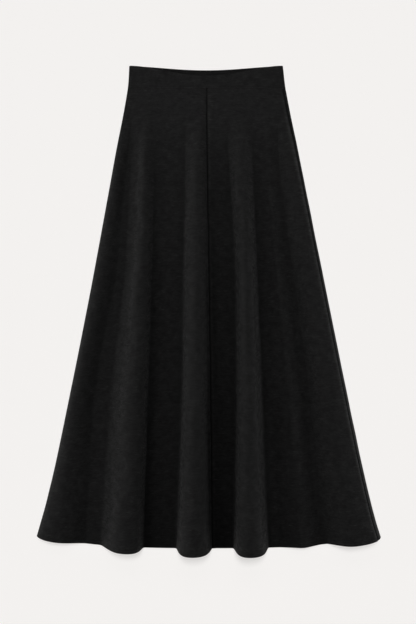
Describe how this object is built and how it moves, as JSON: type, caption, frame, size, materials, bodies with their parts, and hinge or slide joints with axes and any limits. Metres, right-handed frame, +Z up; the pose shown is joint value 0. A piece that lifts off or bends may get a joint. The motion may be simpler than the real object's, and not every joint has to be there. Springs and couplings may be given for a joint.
{
  "type": "a-line midi skirt",
  "caption": "Long black A-line skirt in wool cloth, laid flat face up, with a shaped waistband, a centre front seam and soft flutes that widen to the hem.",
  "frame": {"origin": "middle of the skirt's box, on the surface that the skirt lies on", "axes": "+Y towards the waist along the skirt's length, +X towards the wearer's left side, +Z up out of the front"},
  "size_m": [0.7141, 1.0082, 0.0657],
  "materials": {
    "cloth": "matt black wool-blend cloth with a faint fuzz",
    "zip_tape": "plain black woven tape"
  },
  "bodies": {
    "root": {"front_left": "cloth", "front_right": "cloth", "back": "cloth", "waistband_front": "cloth", "waistband_back": "cloth", "side_zip": "zip_tape"}
  },
  "joints": []
}
